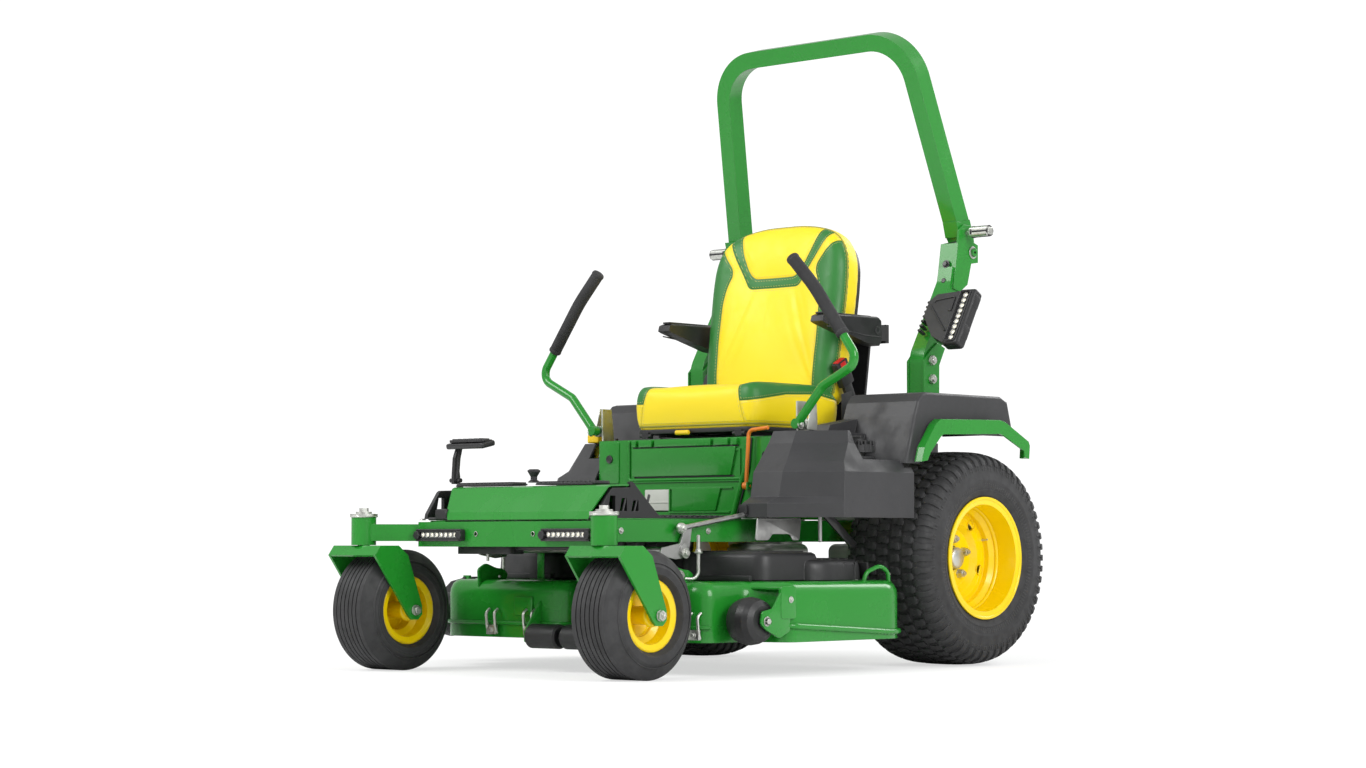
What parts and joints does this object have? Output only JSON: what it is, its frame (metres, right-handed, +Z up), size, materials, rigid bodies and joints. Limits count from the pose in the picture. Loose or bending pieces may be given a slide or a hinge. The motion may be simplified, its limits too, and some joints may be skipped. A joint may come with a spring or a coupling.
{
  "type": "zero turn mower",
  "caption": "Ride-on zero turn mower with twin control levers, padded seat, folding roll bar, caster front wheels and a mid-mounted cutting deck.",
  "frame": {"origin": "on the ground, directly below the middle of the drive-wheel axis, in the mower's centre plane", "axes": "+Z up; the mower faces -Y; +X towards the mower's left side"},
  "size_m": [1.436, 2.074, 1.8574],
  "materials": {
    "green_paint": "glossy enamel",
    "yellow_paint": "glossy enamel",
    "black_paint": "satin",
    "steel": "machined",
    "zinc": "zinc plated",
    "aluminium_casting": "as cast",
    "tyre_rubber": "matt",
    "grey_plastic": "fine grain",
    "black_plastic": "fine grain",
    "tank_plastic": "translucent white",
    "yellow_plastic": "smooth",
    "foam": "foam",
    "belt_rubber": "matt",
    "yellow_vinyl": "padded vinyl",
    "orange_paint": "glossy"
  },
  "bodies": {
    "chassis": {"main_frame": "green_paint", "frame_fasteners": "zinc", "transaxles": "aluminium_casting", "engine_block": "aluminium_casting", "engine_shroud": "black_plastic", "muffler": "black_paint", "fuel_tank": "tank_plastic", "foot_platform": "green_paint", "platform_trim": "black_plastic", "front_panel": "green_paint", "left_console": "grey_plastic", "right_console": "grey_plastic", "wheel_guards": "green_paint", "rops_legs": "green_paint", "lights": "black_plastic"},
    "left_caster": {"left_caster_fork": "green_paint", "left_caster_axle": "zinc"},
    "left_caster_wheel": {"left_caster_tyre": "tyre_rubber", "left_caster_rim": "yellow_paint"},
    "left_drive_wheel": {"left_drive_tyre": "tyre_rubber", "left_drive_rim": "yellow_paint", "left_drive_hub": "steel"},
    "left_lever_yoke": {"left_lever_bracket": "zinc"},
    "left_lever": {"left_control_lever": "green_paint", "left_lever_grip": "foam"},
    "left_pin": {"left_lock_pin": "zinc"},
    "left_arm": {"left_armrest": "black_plastic"},
    "left_cutter": {"left_blade": "steel"},
    "left_scalp_wheel": {"left_anti_scalp_wheel": "black_plastic"},
    "right_caster": {"right_caster_fork": "green_paint", "right_caster_axle": "zinc"},
    "right_caster_wheel": {"right_caster_tyre": "tyre_rubber", "right_caster_rim": "yellow_paint"},
    "right_drive_wheel": {"right_drive_tyre": "tyre_rubber", "right_drive_rim": "yellow_paint", "right_drive_hub": "steel"},
    "right_lever_yoke": {"right_lever_bracket": "zinc"},
    "right_lever": {"right_control_lever": "green_paint", "right_lever_grip": "foam"},
    "right_pin": {"right_lock_pin": "zinc"},
    "right_arm": {"right_armrest": "black_plastic"},
    "right_cutter": {"right_blade": "steel"},
    "right_scalp_wheel": {"right_anti_scalp_wheel": "black_plastic"},
    "engine_output": {"clutch_pulley": "steel"},
    "hoop": {"rops_hoop": "green_paint"},
    "seat": {"seat_pan": "black_paint", "seat_cushion": "yellow_vinyl", "backrest": "yellow_vinyl"},
    "cap": {"fuel_cap": "black_plastic"},
    "blade_switch": {"pto_knob": "yellow_plastic"},
    "park_brake": {"brake_lever": "orange_paint"},
    "height_dial": {"height_knob": "black_plastic"},
    "pedal": {"deck_lift_pedal": "black_paint"},
    "deck": {"deck_shell": "green_paint", "belt_covers": "black_plastic", "drive_belt": "belt_rubber"},
    "centre_cutter": {"centre_blade": "steel"},
    "roller": {"front_roller": "black_plastic"},
    "chute": {"discharge_chute": "black_plastic"},
    "rockshaft": {"lift_rockers": "steel"}
  },
  "joints": [
    {"name": "left_caster_swivel", "type": "hinge", "parent": "chassis", "child": "left_caster", "pos_m": [0.454, -1.392, 0.342], "axis": [0, 0, 1], "continuous": true},
    {"name": "left_caster_spin", "type": "hinge", "parent": "left_caster", "child": "left_caster_wheel", "pos_m": [0.454, -1.289, 0.165], "axis": [1, 0, 0], "continuous": true},
    {"name": "left_drive_spin", "type": "hinge", "parent": "chassis", "child": "left_drive_wheel", "pos_m": [0.482, 0, 0.305], "axis": [1, 0, 0], "continuous": true},
    {"name": "left_lever_rock", "type": "hinge", "parent": "chassis", "child": "left_lever_yoke", "pos_m": [0.389, -0.508, 0.6], "axis": [1, 0, 0], "range_deg": [-15, 15]},
    {"name": "left_lever_swing", "type": "hinge", "parent": "left_lever_yoke", "child": "left_lever", "pos_m": [0.389, -0.555, 0.676], "axis": [0, 1, 0], "range_deg": [0, 22]},
    {"name": "left_pin_pull", "type": "slide", "parent": "chassis", "child": "left_pin", "axis": [1, 0, 0], "range_m": [-0.012, 0.03]},
    {"name": "left_armrest_lift", "type": "hinge", "parent": "seat", "child": "left_arm", "pos_m": [0.294, -0.105, 0.962], "axis": [1, 0, 0], "range_deg": [-82, 0]},
    {"name": "left_blade_spin", "type": "hinge", "parent": "deck", "child": "left_cutter", "pos_m": [0.405, -0.69, 0.11], "axis": [0, 0, 1], "continuous": true},
    {"name": "left_scalp_spin", "type": "hinge", "parent": "deck", "child": "left_scalp_wheel", "pos_m": [0.564, -0.957, 0.145], "axis": [1, 0, 0], "continuous": true},
    {"name": "right_caster_swivel", "type": "hinge", "parent": "chassis", "child": "right_caster", "pos_m": [-0.454, -1.392, 0.342], "axis": [0, 0, 1], "continuous": true},
    {"name": "right_caster_spin", "type": "hinge", "parent": "right_caster", "child": "right_caster_wheel", "pos_m": [-0.454, -1.289, 0.165], "axis": [1, 0, 0], "continuous": true},
    {"name": "right_drive_spin", "type": "hinge", "parent": "chassis", "child": "right_drive_wheel", "pos_m": [-0.482, 0, 0.305], "axis": [1, 0, 0], "continuous": true},
    {"name": "right_lever_rock", "type": "hinge", "parent": "chassis", "child": "right_lever_yoke", "pos_m": [-0.389, -0.508, 0.6], "axis": [1, 0, 0], "range_deg": [-15, 15]},
    {"name": "right_lever_swing", "type": "hinge", "parent": "right_lever_yoke", "child": "right_lever", "pos_m": [-0.389, -0.555, 0.676], "axis": [0, -1, 0], "range_deg": [0, 22]},
    {"name": "right_pin_pull", "type": "slide", "parent": "chassis", "child": "right_pin", "axis": [-1, 0, 0], "range_m": [-0.012, 0.03]},
    {"name": "right_armrest_lift", "type": "hinge", "parent": "seat", "child": "right_arm", "pos_m": [-0.294, -0.105, 0.962], "axis": [1, 0, 0], "range_deg": [-82, 0]},
    {"name": "right_blade_spin", "type": "hinge", "parent": "deck", "child": "right_cutter", "pos_m": [-0.405, -0.69, 0.11], "axis": [0, 0, 1], "continuous": true},
    {"name": "right_scalp_spin", "type": "hinge", "parent": "deck", "child": "right_scalp_wheel", "pos_m": [-0.564, -0.957, 0.145], "axis": [1, 0, 0], "continuous": true},
    {"name": "engine_spin", "type": "hinge", "parent": "chassis", "child": "engine_output", "pos_m": [0, 0.24, 0.345], "axis": [0, 0, 1], "continuous": true},
    {"name": "centre_blade_spin", "type": "hinge", "parent": "deck", "child": "centre_cutter", "pos_m": [0, -0.76, 0.11], "axis": [0, 0, 1], "continuous": true},
    {"name": "roll_bar_fold", "type": "hinge", "parent": "chassis", "child": "hoop", "pos_m": [0, 0.166, 1.198], "axis": [1, 0, 0], "range_deg": [-110, 0]},
    {"name": "seat_tilt", "type": "hinge", "parent": "chassis", "child": "seat", "pos_m": [0, -0.556, 0.656], "axis": [1, 0, 0], "range_deg": [0, 48]},
    {"name": "fuel_cap_turn", "type": "hinge", "parent": "chassis", "child": "cap", "pos_m": [0.505, -0.44, 0.61], "axis": [0, 0, 1], "continuous": true},
    {"name": "blade_switch_pull", "type": "slide", "parent": "chassis", "child": "blade_switch", "axis": [0, 0, 1], "range_m": [0, 0.012]},
    {"name": "park_brake_pull", "type": "hinge", "parent": "chassis", "child": "park_brake", "pos_m": [0.241, -0.6, 0.506], "axis": [1, 0, 0], "range_deg": [0, 30]},
    {"name": "height_dial_turn", "type": "hinge", "parent": "chassis", "child": "height_dial", "pos_m": [0.01, -1.2, 0.511], "axis": [0, 0, 1], "range_deg": [-135, 135]},
    {"name": "pedal_press", "type": "hinge", "parent": "chassis", "child": "pedal", "pos_m": [-0.289, -1.204, 0.519], "axis": [1, 0, 0], "range_deg": [-30, 12]},
    {"name": "deck_height", "type": "slide", "parent": "chassis", "child": "deck", "axis": [0, 0, 1], "range_m": [-0.05, 0.02]},
    {"name": "roller_spin", "type": "hinge", "parent": "deck", "child": "roller", "pos_m": [0.03, -1.105, 0.096], "axis": [1, 0, 0], "continuous": true},
    {"name": "chute_lift", "type": "hinge", "parent": "deck", "child": "chute", "pos_m": [-0.628, -0.66, 0.245], "axis": [0, 1, 0], "range_deg": [0, 80]},
    {"name": "rockshaft_turn", "type": "hinge", "parent": "chassis", "child": "rockshaft", "pos_m": [0, -0.972, 0.329], "axis": [1, 0, 0], "range_deg": [-14, 34]}
  ],
  "couplings": [
    {"joint": "left_blade_spin", "follows": "engine_spin", "ratio": 1.1},
    {"joint": "centre_blade_spin", "follows": "engine_spin", "ratio": 1.1},
    {"joint": "right_blade_spin", "follows": "engine_spin", "ratio": 1.1},
    {"joint": "rockshaft_turn", "follows": "deck_height", "rad_per_m": -10},
    {"joint": "pedal_press", "follows": "deck_height", "rad_per_m": 10}
  ]
}
